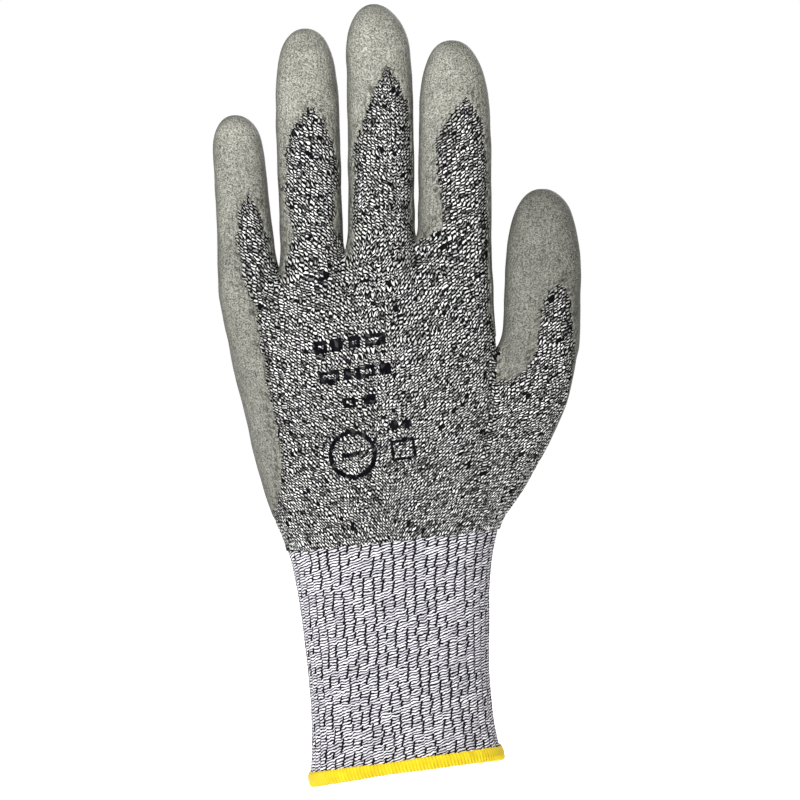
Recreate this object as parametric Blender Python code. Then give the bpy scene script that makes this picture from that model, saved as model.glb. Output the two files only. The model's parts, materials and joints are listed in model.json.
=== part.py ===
"""A cut resistant glove for the left hand, shown standing with its fingers up, as a hand fills it.

A seamless knitted liner is coated with polyurethane on its palm and fingertips. Its elastic rib cuff ends in
an overlocked hem. The liner is divided at the lines where it folds, with a short flexing band at each fold.

+X is the thumb's side, +Y is the palm's side, and +Z runs to the fingertips. The origin is at the wrist's
centre. Sizes are in millimetres, and metres are made only when a mesh is built.
"""

import math

import bmesh
import bpy
import numpy as np

MM = 0.001

# Thickness of each layer, and the space kept between neighbours and at each cut
LINER = 0.9
COATING = 0.5
GAP = 0.3

# The hand's cross-sections, each the whole width from side to side by the depth from back to palm
KNUCKLE_DEPTH = 22.0
THUMB_LEVEL = 60.0  # height of the thumb's crotch
THUMB_LEVEL_SIDES = (-53.0, 33.8)
THUMB_LEVEL_DEPTH = 29.0
WRIST_SIDES = (-34.5, 33.0)
WRIST_DEPTH = 35.0
CUFF_SIDES = (-26.0, 31.5)
CUFF_DEPTH = 37.0
CUFF_TAPER = 1.7  # 1 over the share of the length in which the cuff narrows to its own section
CUFF_FLARE = 2.6  # how far the hem stands out on the thumb's side
FLARE_START = 0.86  # share of the cuff's length where it begins to stand out
OUTER_FLARE = 0.7  # the little finger's side stands out less, by this factor
HEM_LEVEL = -72.5  # middle of the hem's top edge
HEM_HEIGHT = 4.6
HEM_THICKNESS = 1.9
HEM_GAP = 0.7  # between the rib and the hem, whose walls lean differently
PALM_FORWARD = 2.0  # the palm bulges, so its sections lie this far towards +Y
COURSE_SLOPE = 0.105  # the knitted courses rise towards the thumb by this share of X
SQUARENESS = 2.35  # exponent of the rounded sections: 2 is an ellipse

# Finger crotches, from the little finger's side to the index finger's, and the two outer ends of that line
CROTCHES = (83.8, 92.1, 95.0)
OUTER_ENDS = (80.0, 92.0)
VALLEY = 3.5  # the surface sinks this far below a crotch on the back and on the palm
FLARE = 9.0  # a finger takes this length to reach its own section
BULGE = 1.0  # how far a web stands up in its middle
WEB_HALF_DEPTH = 3.2
THUMB_WEB_HALF_DEPTH = 4.5
LOBES = 1.6  # exponent with which the fingers' lobes fade into the palm

# Folds
WRIST_HALF_BAND = 8.0  # half length of the wrist's flexing band
PIVOT_SHARE = 0.4  # a pivot lies this share of the half depth from the middle towards the palm
FINGER_CURL = 5.0  # the fingertips lean this far towards the palm
TIP_POWER = 2.0  # exponent of the rounded fingertips: 2 is a circle
DEPTH_ROUNDING = 0.75  # a fingertip's depth closes over this share of the length its width takes
TIP_ROWS = (25, 50, 68, 80)  # degrees round a fingertip at which it has a row of points

SIDE_COLUMNS = 2  # mesh columns on the side of a finger, between its back and its palm

# Elastic yarn laid in the cuff
ELASTIC_TURNS = 8
ELASTIC_RADIUS = 0.4
ELASTIC_STEPS = 30
ELASTIC_START = 0.2  # shares of the cuff's length
ELASTIC_REACH = 0.62

# The printed size mark: the middle of its ring, and the ring's sizes
PRINT_PLACE = (-16.0, 22.0)
PRINT_RADIUS = 6.5
PRINT_LINE = 1.2
PRINT_THICKNESS = 0.3


class Digit:
    """A finger or the thumb. Places are (x, z); folds are distances below the tip, from the root upwards."""

    def __init__(self, name, columns, root, tip, widths, depths, rounding, folds, half_bands, pad=90.0,
                 forward=0.0):
        self.name = name
        self.columns = columns
        self.root = np.array([root[0], forward, root[1]])
        rise = np.array([tip[0] - root[0], 0.0, tip[1] - root[1]])
        self.length = float(np.linalg.norm(rise))
        self.axis = rise / self.length
        self.widths = widths
        self.depths = depths
        self.rounding = rounding
        self.folds = [self.length - fold for fold in folds]
        self.half_bands = half_bands
        angle = math.radians(pad)  # 90 faces the palm's side, more turns the pad towards the other fingers
        self.pad = np.array([math.cos(angle), math.sin(angle), 0.0])
        self.bend_axis = np.cross(self.axis, self.pad)

    def around(self):
        return 2 * self.columns + 2 * SIDE_COLUMNS

    def centre(self, along):
        curl = FINGER_CURL * (along / self.length) ** 2
        return self.root + self.axis * along + np.array([0.0, curl, 0.0])

    def size(self, along):
        """Width and depth of the section, which close in a rounded tip."""
        share = along / self.length
        width = np.interp(share, (0, 0.5, 1), self.widths)
        depth = np.interp(share, (0, 0.5, 1), self.depths)
        left = self.length - along
        return width * closing(left / self.rounding), depth * closing(left / (DEPTH_ROUNDING * self.rounding))

    def ring(self, along):
        count = self.around()
        placed = np.zeros((count, 3))
        placed[:, :2] = section(count, *self.size(along), SIDE_COLUMNS / 2)
        return placed + self.centre(along)

    def pivot(self, fold):
        """The fold's pivot, which lies nearer the palm, so that the knuckle stretches more than it creases."""
        width, depth = self.size(fold)
        reach = math.hypot(width / 2 * self.pad[0], depth / 2 * self.pad[1])
        return self.centre(fold) + self.pad * (PIVOT_SHARE * reach)


def closing(left):
    """A rounded tip's share of the full size, where left is the share of its rounding still to go."""
    return (1 - max(0.0, 1 - left) ** TIP_POWER) ** (1 / TIP_POWER)


def section(count, width, depth, start):
    """Points at equal steps round a rounded section, from the -X side over the back to +X and the palm.

    start is how many steps after the -X side the first point lies.
    """
    angle = np.linspace(0, 2 * math.pi, 721)
    power = 2 / SQUARENESS
    x = -width / 2 * np.sign(np.cos(angle)) * np.abs(np.cos(angle)) ** power
    y = -depth / 2 * np.sign(np.sin(angle)) * np.abs(np.sin(angle)) ** power
    walked = np.concatenate([[0], np.cumsum(np.hypot(np.diff(x), np.diff(y)))])
    steps = (np.arange(count) + start) / count * walked[-1]
    return np.column_stack([np.interp(steps, walked, x), np.interp(steps, walked, y)])


FINGERS = (
    Digit("little", 5, (-45.9, 79.5), (-50.2, 134.0), (17.8, 15.2, 15.0), (14.5, 13.0, 12.2), 14,
          (43.5, 30.0, 15.5), (4.5, 4.5, 3.5)),
    Digit("ring", 6, (-25.2, 84.5), (-28.0, 161.1), (18.8, 18.8, 18.6), (16.4, 15.2, 14.0), 21,
          (60.5, 42.0, 22.0), (5.5, 5.5, 4.5)),
    Digit("middle", 6, (-3.6, 90.0), (-5.0, 169.1), (19.6, 19.7, 18.8), (16.8, 15.6, 14.4), 17,
          (66.0, 45.0, 23.5), (5.5, 5.5, 4.5)),
    Digit("index", 6, (19.9, 91.0), (19.4, 157.3), (22.0, 21.6, 21.4), (17.0, 16.0, 14.8), 23,
          (54.5, 38.5, 20.5), (5.5, 5.5, 4.5)),
)
THUMB = Digit("thumb", 6, (46.6, 57.0), (48.2, 110.0), (23.0, 23.0, 22.8), (19.4, 17.6, 16.2), 28,
              (42.0, 27.5), (5.0, 4.5), pad=100.0, forward=4.0)

# The names of a digit's rigid stretches and of its bands, by the number of its folds
SEGMENTS = {
    3: (("proximal", "middle", "tip"), ("root_band", "knuckle_band", "tip_band")),
    2: (("proximal", "tip"), ("root_band", "tip_band")),
}


# --- The net of the hand: one closed row of points for each level -------------------------------------------


def slant(x):
    return COURSE_SLOPE * x


def palm_count():
    return 2 * sum(f.columns for f in FINGERS) + 2 * SIDE_COLUMNS


def first_columns():
    return np.concatenate([[0], np.cumsum([f.columns for f in FINGERS])]).astype(int)


def crotch_ends(number):
    """Heights of the knuckle line at the two sides of a finger."""
    line = (OUTER_ENDS[0], *CROTCHES, OUTER_ENDS[1])
    return line[number], line[number + 1]


def root_row(number):
    """A finger's first row, joined to its neighbours: the tube's own section, moved onto the knuckle line."""
    finger = FINGERS[number]
    row = finger.ring(0)
    low, high = crotch_ends(number)
    sides = row[:, 0].min(), row[:, 0].max()
    row[:, 2] = np.interp(row[:, 0], sides, (low, high)) - VALLEY
    return row


def webs():
    """For each crotch, the points of the line that two neighbouring fingers share, from the back to the palm."""
    made = []
    for number, height in enumerate(CROTCHES):
        left, right = root_row(number), root_row(number + 1)
        columns, across = FINGERS[number].columns, SIDE_COLUMNS
        from_left = left[columns:columns + across + 1]
        start = FINGERS[number + 1].around() - across
        from_right = np.vstack([right[start:], right[:1]])[::-1]
        line = (from_left + from_right) / 2
        line[:, 0] = line[:, 0].mean()
        share = np.linspace(-1, 1, across + 1)
        line[:, 1] = WEB_HALF_DEPTH * share
        line[:, 2] = height - VALLEY * share ** 2 + BULGE * (1 - share ** 2)
        made.append(line)
    return made


def joined_root_rows():
    """Every finger's first row, with the sides that face a neighbour moved to the shared web."""
    rows, lines = [root_row(n) for n in range(len(FINGERS))], webs()
    for number, finger in enumerate(FINGERS):
        columns, across, around = finger.columns, SIDE_COLUMNS, finger.around()
        if number < len(FINGERS) - 1:
            rows[number][columns:columns + across + 1] = lines[number]
        if number > 0:
            line = lines[number - 1][::-1]
            rows[number][around - across:] = line[:-1]
            rows[number][0] = line[-1]
    return rows


def knuckle_row():
    """The palm's top row, in the order back, +X side, palm, -X side."""
    rows, first = joined_root_rows(), first_columns()
    total = first[-1]
    row = np.zeros((palm_count(), 3))
    for number, finger in enumerate(FINGERS):
        columns, across = finger.columns, SIDE_COLUMNS
        row[first[number]:first[number] + columns + 1] = rows[number][:columns + 1]
        front = rows[number][columns + across:2 * columns + across + 1]
        start = total + across + total - (first[number] + columns)
        row[start:start + columns + 1] = front
    row[total:total + SIDE_COLUMNS + 1] = rows[-1][FINGERS[-1].columns:FINGERS[-1].columns + SIDE_COLUMNS + 1]
    row[2 * total + SIDE_COLUMNS:] = rows[0][2 * FINGERS[0].columns + SIDE_COLUMNS:]
    return row


def level_row(count, sides, depth, height, grow=0.0):
    """A whole row on a rounded section between two sides, slanted as the courses are."""
    flat = section(count, sides[1] - sides[0] + 2 * grow, depth + 2 * grow, SIDE_COLUMNS / 2)
    row = np.zeros((count, 3))
    row[:, 0] = flat[:, 0] + (sides[0] + sides[1]) / 2
    row[:, 1] = flat[:, 1] + PALM_FORWARD
    row[:, 2] = height + slant(row[:, 0])
    return row


def thumb_level_row():
    middle_height = THUMB_LEVEL - slant(THUMB_LEVEL_SIDES[1])
    row = level_row(palm_count(), THUMB_LEVEL_SIDES, THUMB_LEVEL_DEPTH, middle_height)
    total = first_columns()[-1]
    share = np.linspace(-1, 1, SIDE_COLUMNS + 1)
    side = row[total:total + SIDE_COLUMNS + 1]
    side[:, 0] = THUMB_LEVEL_SIDES[1]
    side[:, 1] = PALM_FORWARD + THUMB_WEB_HALF_DEPTH * share
    side[:, 2] = THUMB_LEVEL - VALLEY * share ** 2
    return row


def ease(share):
    return share * share * (3 - 2 * share)


def upper_palm_rows(count):
    """Rows from the knuckle line down to the thumb's crotch."""
    top, bottom = knuckle_row(), thumb_level_row()
    rows = []
    for share in np.linspace(0, 1, count):
        row = top * (1 - share) + bottom * share
        lobes = (1 - share) ** LOBES
        row[:, 1] = top[:, 1] * lobes + bottom[:, 1] * (1 - lobes)
        rows.append(row)
    return rows


def thumb_root_row():
    """The thumb's first row, whose -X side is the web that it shares with the palm."""
    row = THUMB.ring(0)
    total, across = first_columns()[-1], SIDE_COLUMNS
    web = thumb_level_row()[total:total + across + 1][::-1]
    row[THUMB.around() - across:] = web[:-1]
    row[0] = web[-1]
    return row


def lower_palm_top():
    """The hand's row at the thumb's crotch, which goes round the palm and the thumb."""
    palm, thumb = thumb_level_row(), thumb_root_row()
    total, across = first_columns()[-1], SIDE_COLUMNS
    around_thumb = thumb[1:2 * THUMB.columns + across]
    return np.vstack([palm[:total + 1], around_thumb, palm[total + across:]])


# The hand's two edges below the thumb's crotch: (height, X)
LEFT_EDGE = ((-4, -34.0), (8, -38.8), (20, -43.0), (34, -46.2), (46, -49.0), (62, -53.2))
RIGHT_EDGE = ((-4, 32.5), (2, 34.2), (14, 41.3), (27, 48.6), (40, 54.6), (52, 58.0), (64, 59.4))


def lower_palm_rows(count):
    """Rows from the thumb's crotch down to the wrist, fitted between the hand's two edges."""
    top = lower_palm_top()
    bottom = level_row(len(top), WRIST_SIDES, WRIST_DEPTH, 0.0)
    rows = []
    for share in np.linspace(0, 1, count):
        row = top * (1 - share) + bottom * share
        fade = ease(share)
        row[:, 1] = top[:, 1] * (1 - fade) + bottom[:, 1] * fade
        sides = row[:, 0].min(), row[:, 0].max()
        heights = row[row[:, 0].argmin(), 2], row[row[:, 0].argmax(), 2]
        wanted = [np.interp(h, *zip(*edge)) for h, edge in zip(heights, (LEFT_EDGE, RIGHT_EDGE))]
        row[:, 0] = np.interp(row[:, 0], sides, wanted)
        rows.append(row)
    return rows


def cuff_row(share, count, grow=0.0):
    """A row of the cuff: 0 is at the wrist, 1 at the hem's top edge."""
    narrowing = 1 - (1 - min(share * CUFF_TAPER, 1.0)) ** 2
    flare = CUFF_FLARE * max(0.0, (share - FLARE_START) / (1 - FLARE_START)) ** 2
    sides = [w * (1 - narrowing) + c * narrowing for w, c in zip(WRIST_SIDES, CUFF_SIDES)]
    sides = sides[0] - flare * OUTER_FLARE, sides[1] + flare
    depth = WRIST_DEPTH * (1 - narrowing) + CUFF_DEPTH * narrowing + flare
    return level_row(count, sides, depth, HEM_LEVEL * share, grow=grow)


def flared(digit, along, root):
    """A digit's row, which near the root still follows the root row that its neighbours share."""
    left = max(0.0, 1 - along / FLARE) ** 2
    return digit.ring(along) + (root - digit.ring(0)) * left


# --- Meshes -------------------------------------------------------------------------------------------------


def material(name, colour, roughness):
    made = bpy.data.materials.get(name) or bpy.data.materials.new(name)
    made.use_nodes = True
    shader = made.node_tree.nodes["Principled BSDF"]
    shader.inputs["Base Color"].default_value = (*colour, 1.0)
    shader.inputs["Roughness"].default_value = roughness
    shader.inputs["Metallic"].default_value = 0.0
    return made


def knit():
    return material("knit", (0.36, 0.36, 0.35), 0.95)


def coating():
    return material("coating", (0.42, 0.42, 0.38), 0.6)


def yarn(name, colour):
    return material(name, colour, 0.9)


def surface(name, points, faces, look):
    """An object from points in millimetres, with its faces pointing out."""
    mesh = bpy.data.meshes.new(name)
    mesh.from_pydata([tuple(p * MM) for p in points], [], [tuple(f) for f in faces])
    net = bmesh.new()
    net.from_mesh(mesh)
    bmesh.ops.remove_doubles(net, verts=net.verts, dist=1e-6)
    net.to_mesh(mesh)
    net.free()
    mesh.shade_smooth()
    mesh.materials.append(look)
    obj = bpy.data.objects.new(name, mesh)
    bpy.context.scene.collection.objects.link(obj)
    return obj


def thicken(obj, thickness, outwards=False):
    solid = obj.modifiers.new("Thickness", "SOLIDIFY")
    solid.thickness = thickness * MM
    solid.offset = 1.0 if outwards else -1.0
    solid.use_even_offset = True
    solid.use_quality_normals = True


def grown(obj, distance):
    """Moves every point out along its normal, before the wall gets its thickness."""
    net = bmesh.new()
    net.from_mesh(obj.data)
    net.normal_update()
    moved = [v.co + v.normal * (distance * MM) for v in net.verts]
    for vert, place in zip(net.verts, moved):
        vert.co = place
    net.to_mesh(obj.data)
    net.free()


def strip_faces(rows, count, columns):
    """Quads between neighbouring rows. columns picks which steps round the row get a face."""
    faces = []
    for row in range(rows - 1):
        here, above = row * count, (row + 1) * count
        for column in columns:
            after = (column + 1) % count
            faces.append((here + column, here + after, above + after, above + column))
    return faces


def tube(name, rows, look, columns=None, tip=None):
    """A tube or, with columns, a strip of it, through rows listed from the wrist upwards."""
    count = len(rows[0])
    points = np.vstack(rows)
    faces = strip_faces(len(rows), count, range(count) if columns is None else columns)
    if tip is not None:
        last = (len(rows) - 1) * count
        faces += [(last + c, last + (c + 1) % count, len(points)) for c in range(count)]
        points = np.vstack([points, tip])
    used = sorted({i for f in faces for i in f})
    place = {old: new for new, old in enumerate(used)}
    return surface(name, points[used], [[place[i] for i in f] for f in faces], look)


# --- The parts ----------------------------------------------------------------------------------------------


def spans(digit):
    """Where each rigid stretch of a digit starts and ends, and where each band does."""
    starts = [fold + half + GAP for fold, half in zip(digit.folds, digit.half_bands)]
    ends = [fold - half for fold, half in zip(digit.folds, digit.half_bands)][1:] + [digit.length]
    bands = [(fold - half + GAP, fold + half) for fold, half in zip(digit.folds, digit.half_bands)]
    return list(zip(starts, ends)), bands


def palm_columns(digit):
    """The columns of a digit's row that the coating covers: both sides and the palm."""
    return range(digit.columns, digit.around())


def tip_places(digit, start):
    """Distances along a tip, closer together as it rounds off."""
    round_start = digit.length - digit.rounding
    turns = [digit.length - digit.rounding * (1 - math.sin(a)) for a in np.radians(TIP_ROWS)]
    return [start] + [t for t in turns if t > max(start, round_start) + 1.0]


def make_digit(digit, root):
    names, band_names = SEGMENTS[len(digit.folds)]
    stretches, bands = spans(digit)
    for name, (start, end) in zip(band_names, bands):
        rows = [flared(digit, s, root) for s in np.linspace(start, end, 3)]
        thicken(tube(f"{digit.name}_{name}", rows, knit()), LINER)
    for name, (start, end) in zip(names, stretches):
        if end < digit.length:
            rows = [flared(digit, s, root) for s in (start, end)]
            sleeve = tube(f"{digit.name}_{name}_sleeve", rows, knit())
            skin = tube(f"{digit.name}_{name}_coating", rows, coating(), palm_columns(digit))
        else:
            rows = [flared(digit, s, root) for s in tip_places(digit, start)]
            point = digit.centre(digit.length)
            sleeve = tube(f"{digit.name}_{name}_sleeve", rows, knit(), tip=point)
            skin = tube(f"{digit.name}_{name}_coating", rows, coating(), tip=point)
        thicken(sleeve, LINER)
        grown(skin, GAP)
        thicken(skin, COATING, outwards=True)


class Net:
    """Points and faces collected row by row, where neighbouring rows may share points."""

    def __init__(self):
        self.points = []
        self.faces = []
        self.coated = []

    def add(self, row):
        start = len(self.points)
        self.points += list(row)
        return list(range(start, len(self.points)))

    def join(self, below, above, coated_columns):
        count = len(below)
        for k in range(count):
            after = (k + 1) % count
            face = (below[k], below[after], above[after], above[k])
            self.faces.append(face)
            if k in coated_columns:
                self.coated.append(face)

    def solid(self, name, faces, look, distance, thickness):
        used = sorted({i for face in faces for i in face})
        place = {old: new for new, old in enumerate(used)}
        points = np.array(self.points)[used]
        obj = surface(name, points, [[place[i] for i in face] for face in faces], look)
        if distance:
            grown(obj, distance)
        thicken(obj, thickness, outwards=distance > 0)


def finger_base(number, top, add_web):
    """A finger's root row as points of the palm's top row, with the web's own points added."""
    finger, first = FINGERS[number], first_columns()
    total, columns, across, around = first[-1], finger.columns, SIDE_COLUMNS, finger.around()
    base = [None] * around
    for k in range(columns + 1):
        base[k] = top[first[number] + k]
    for k in range(columns + across, 2 * columns + across + 1):
        from_left = 2 * columns + across - k
        base[k % around] = top[total + across + total - (first[number] + from_left)]
    if number == len(FINGERS) - 1:
        for k in range(columns, columns + across + 1):
            base[k] = top[total + k - columns]
    else:
        for k in range(columns + 1, columns + across):
            base[k] = add_web(number, k - columns)
    if number == 0:
        for k in range(2 * columns + across, around):
            base[k] = top[2 * total + across + k - (2 * columns + across)]
    else:
        for k in range(2 * columns + across + 1, around):
            base[k] = add_web(number - 1, around - k)
    return base


def add_stub(net, digit, base, root, rows=3):
    """The short tube at a digit's root, up to its first fold."""
    end = spans(digit)[1][0][0] - GAP
    coated = range(digit.columns + SIDE_COLUMNS, 2 * digit.columns + SIDE_COLUMNS)
    for along in np.linspace(0, end, rows)[1:]:
        ring = net.add(flared(digit, along, root))
        net.join(base, ring, coated)
        base = ring


def make_hand(upper_rows=6, lower_rows=10):
    """The hand from the wrist's fold to the stubs of the five digits, and the coating on its palm."""
    net = Net()
    total, across = first_columns()[-1], SIDE_COLUMNS
    rows = lower_palm_rows(lower_rows)
    rows = [r for r in rows if mean_height(r) > WRIST_HALF_BAND + 2]
    rows.append(nearest_row(lower_palm_rows(200), WRIST_HALF_BAND))
    coated = range(total + THUMB.columns + across, len(rows[0]))
    below = net.add(rows[-1])
    for row in rows[-2::-1]:
        ring = net.add(row)
        net.join(below, ring, coated)
        below = ring

    thumb_end = total + 2 * THUMB.columns + across
    web = net.add(thumb_level_row()[total + 1:total + across])
    add_stub(net, THUMB, below[total:thumb_end + 1] + web[::-1], thumb_root_row())

    below = below[:total + 1] + web + below[thumb_end:]
    coated = range(total + across, palm_count())
    for row in upper_palm_rows(upper_rows)[-2::-1]:
        ring = net.add(row)
        net.join(below, ring, coated)
        below = ring

    lines = webs()
    shared = {}

    def add_web(number, step):
        if (number, step) not in shared:
            shared[number, step] = net.add(lines[number][step:step + 1])[0]
        return shared[number, step]

    for number, root in enumerate(joined_root_rows()):
        add_stub(net, FINGERS[number], finger_base(number, below, add_web), root)
    net.solid("hand_liner", net.faces, knit(), 0.0, LINER)
    net.solid("palm_coating", net.coated, coating(), GAP, COATING)


def mean_height(row):
    return (row[:, 2] - slant(row[:, 0])).mean()


def nearest_row(rows, height):
    return min(rows, key=lambda r: abs(mean_height(r) - height))


def make_cuff(columns=44):
    """The rib tube, the flexing band at the wrist and the hem that wraps the cuff's edge."""
    top_share = WRIST_HALF_BAND / -HEM_LEVEL
    above = lower_palm_rows(200)
    band_rows = [nearest_row(above, h) for h in (0.0, WRIST_HALF_BAND / 2, WRIST_HALF_BAND - GAP)]
    lower = [cuff_row(s, len(above[0])) for s in np.linspace(top_share - GAP / -HEM_LEVEL, 0, 3)[:-1]]
    thicken(tube("wrist_band", lower + band_rows, knit()), LINER)
    hem_gap = HEM_GAP / -HEM_LEVEL
    shares = (1 - hem_gap, 0.93, 0.86, 0.6, 0.35, top_share)
    thicken(tube("cuff_rib", [cuff_row(s, columns) for s in shares], knit()), LINER)
    top = cuff_row(1.0, columns, grow=(HEM_THICKNESS - LINER) / 2)
    drop = np.array([0, 0, HEM_HEIGHT])
    rows = [top - drop, top - drop / 2, top]
    hem = tube("overlock_hem", rows, yarn("hem_yarn", (0.95, 0.72, 0.02)))
    thicken(hem, HEM_THICKNESS)


def make_elastic():
    """One covered rubber thread, laid round the inside of the cuff in a long spiral."""
    inside = -(LINER + GAP + ELASTIC_RADIUS)
    curve = bpy.data.curves.new("cuff_elastic", "CURVE")
    curve.dimensions = "3D"
    curve.bevel_depth = ELASTIC_RADIUS * MM
    curve.bevel_resolution = 0
    curve.use_fill_caps = True
    line = curve.splines.new("POLY")
    steps = ELASTIC_TURNS * ELASTIC_STEPS
    line.points.add(steps)
    for step in range(steps + 1):
        share = ELASTIC_START + ELASTIC_REACH * step / steps
        place = cuff_row(share, ELASTIC_STEPS, grow=inside)[step % ELASTIC_STEPS] * MM
        line.points[step].co = (*place, 1.0)
    curve.materials.append(yarn("elastic", (0.8, 0.8, 0.78)))
    obj = bpy.data.objects.new("cuff_elastic", curve)
    bpy.context.scene.collection.objects.link(obj)


def back_of_hand(x, z):
    """Depth of the hand's back at a place, from the rows of the lower palm."""
    rows = lower_palm_rows(40)
    total = first_columns()[-1]
    near = min(rows, key=lambda r: abs(np.interp(x, r[:total, 0], r[:total, 2]) - z))
    return float(np.interp(x, near[:total, 0], near[:total, 1]))


def make_print(steps=24):
    """The size mark: a printed ring on the back of the hand."""
    angle = np.linspace(0, 2 * math.pi, steps, endpoint=False)
    rows = []
    for radius in (PRINT_RADIUS, PRINT_RADIUS - PRINT_LINE):
        x, z = PRINT_PLACE[0] + radius * np.cos(angle), PRINT_PLACE[1] + radius * np.sin(angle)
        y = [back_of_hand(*place) - 2 * GAP for place in zip(x, z)]
        rows.append(np.column_stack([x, y, z]))
    ring = tube("size_print", rows, yarn("ink", (0.02, 0.02, 0.02)))
    thicken(ring, PRINT_THICKNESS, outwards=True)


def main():
    for obj in list(bpy.data.objects):
        bpy.data.objects.remove(obj)
    for digit, root in zip(FINGERS, joined_root_rows()):
        make_digit(digit, root)
    make_digit(THUMB, thumb_root_row())
    make_hand()
    make_cuff()
    make_elastic()
    make_print()


main()
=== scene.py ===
import json
import math
from collections import namedtuple

import bpy
import numpy as np
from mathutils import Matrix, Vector


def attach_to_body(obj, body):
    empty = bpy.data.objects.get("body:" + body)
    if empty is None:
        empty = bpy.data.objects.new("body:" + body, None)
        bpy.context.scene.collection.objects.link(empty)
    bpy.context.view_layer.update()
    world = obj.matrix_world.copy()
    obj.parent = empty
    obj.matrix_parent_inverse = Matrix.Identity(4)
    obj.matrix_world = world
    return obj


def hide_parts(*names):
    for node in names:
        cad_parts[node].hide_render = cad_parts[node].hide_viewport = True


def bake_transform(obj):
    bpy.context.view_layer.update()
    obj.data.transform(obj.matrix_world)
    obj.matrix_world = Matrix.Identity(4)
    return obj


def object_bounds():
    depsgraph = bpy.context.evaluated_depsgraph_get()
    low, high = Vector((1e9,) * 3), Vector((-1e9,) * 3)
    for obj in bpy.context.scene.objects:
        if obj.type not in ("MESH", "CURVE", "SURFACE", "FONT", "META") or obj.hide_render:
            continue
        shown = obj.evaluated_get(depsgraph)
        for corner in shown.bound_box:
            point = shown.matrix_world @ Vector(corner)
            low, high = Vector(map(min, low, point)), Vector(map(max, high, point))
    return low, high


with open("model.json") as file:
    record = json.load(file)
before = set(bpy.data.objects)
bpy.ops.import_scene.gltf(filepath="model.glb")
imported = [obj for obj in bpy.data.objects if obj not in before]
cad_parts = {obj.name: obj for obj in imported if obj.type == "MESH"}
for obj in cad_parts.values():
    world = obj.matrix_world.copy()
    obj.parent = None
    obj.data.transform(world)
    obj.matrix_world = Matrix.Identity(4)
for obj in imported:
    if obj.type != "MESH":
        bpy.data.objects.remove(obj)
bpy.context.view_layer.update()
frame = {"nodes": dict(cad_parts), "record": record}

# A cut resistant glove for the left hand, filled and upright, seen from the back of the hand.
# One lattice of quads follows the knitted stitches over the whole glove, as a glove is knitted: a
# column of quads is one wale, and two courses share a row. It is subdivided, gets the relief of its
# stitches, and is then cut into pieces where the bodies of the frame meet. Sizes are in millimetres
# until a mesh is made.

MM = 0.001
RECORD = frame["record"]
JOINTS = {j["name"]: j for j in RECORD["behaviour"]["joints"]}

LINER = 0.9  # thickness of the fabric
COAT = 0.26  # and of the coating over it
INK = 0.03
COURSE_SLOPE = 0.105  # rise of a course toward the thumb
SQUARENESS = 2.35  # power of a rounded section: 2 is an ellipse
ACROSS = 4  # wales on the side of a finger, between its back and its palm
COURSES_PER_ROW = 2

PALM_FORWARD = 2.0
THUMB_LEVEL = 59.0  # height of the thumb's crotch, and the palm's sides and depth there
THUMB_LEVEL_SIDES = (-50.2, 33.0)
THUMB_LEVEL_DEPTH = 29.0
WRIST_SIDES = (-35.4, 33.4)
WRIST_DEPTH = 35.0
CUFF_DEPTH = 37.0

CROTCHES = (82.6, 90.4, 94.0)  # heights between the fingers, from the little finger
OUTER_ENDS = (80.0, 92.0)  # heights where the little and index fingers meet the palm's sides
VALLEY = 3.5  # how much lower a crotch is at its front and back than in its middle
BULGE = 1.0
WEB_HALF_DEPTH = 3.6
THUMB_WEB_HALF_DEPTH = 4.5
FLARE = 9.0  # how far up a digit its root's shape reaches
FINGER_CURL = 5.0  # how far forward a digit's tip leans

# The hand's edges below the thumb's crotch and the cuff's edges: (height, X)
LEFT_EDGE = ((-6, -33.2), (-3.5, -34.3), (1, -36.5), (8, -39.1), (20, -43.0), (34, -46.0), (46, -49.0),
             (62, -53.2))
RIGHT_EDGE = ((-6, 31.8), (1, 33.6), (5, 35.7), (8, 38.3), (14, 42.6), (27, 49.3), (40, 55.3), (52, 58.4),
              (64, 59.6))
CUFF_LEFT = ((-84, -24.6), (-74, -26.0), (-68, -25.4), (-56, -25.9), (-43, -26.9), (-31, -28.5), (-18, -30.4),
             (-11, -31.7), (-5, -33.4), (2, -36.0))
CUFF_RIGHT = ((-84, 36.4), (-74, 35.6), (-68, 34.4), (-62, 32.9), (-56, 32.0), (-43, 31.0), (-18, 31.2),
              (-11, 31.8), (-5, 32.5), (2, 34.1))
HEM_TOP = -71.4
HEM_HEIGHT = 4.1
HEM_HALF_DEPTH = 1.05


class Digit:
    """A finger or the thumb: its root and tip are (X, Z), and its folds are measured from the tip."""

    def __init__(self, name, columns, root, tip, widths, depths, rounding, power, folds, half_bands,
                 forward=0.0, bend=0.0):
        self.name = name
        self.columns = columns
        self.root = np.array([root[0], forward, root[1]])
        rise = np.array([tip[0] - root[0], 0.0, tip[1] - root[1]])
        self.length = float(np.linalg.norm(rise))
        self.axis = rise / self.length
        self.widths = widths
        self.depths = depths
        self.rounding = rounding
        self.power = power
        self.folds = [self.length - fold for fold in folds]
        self.half_bands = half_bands
        self.bend = bend  # how far the tip leans sideways

    def around(self):
        """How many wales go round the digit."""
        return 2 * self.columns + 2 * ACROSS

    def centre(self, along):
        curl = FINGER_CURL * (along / self.length) ** 2
        return self.root + self.axis * along + np.array([self.bend * (along / self.length) ** 5, curl, 0.0])

    def size(self, along):
        share = along / self.length
        width = np.interp(share, (0, 0.3, 0.6, 0.8, 1), self.widths)
        depth = np.interp(share, (0, 0.5, 1), self.depths)
        sizes = []
        for size, rounding in ((width, self.rounding), (depth, 0.75 * self.rounding)):
            left = min(1.0, max(0.0, (self.length - along) / rounding))
            sizes.append(size * (1 - (1 - left) ** self.power) ** (1 / self.power))
        return sizes

    def ring(self, along):
        width, depth = self.size(along)
        count = self.around()
        placed = np.zeros((count, 3))
        placed[:, :2] = section(count, width, depth, ACROSS / 2)
        return placed + self.centre(along)


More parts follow.
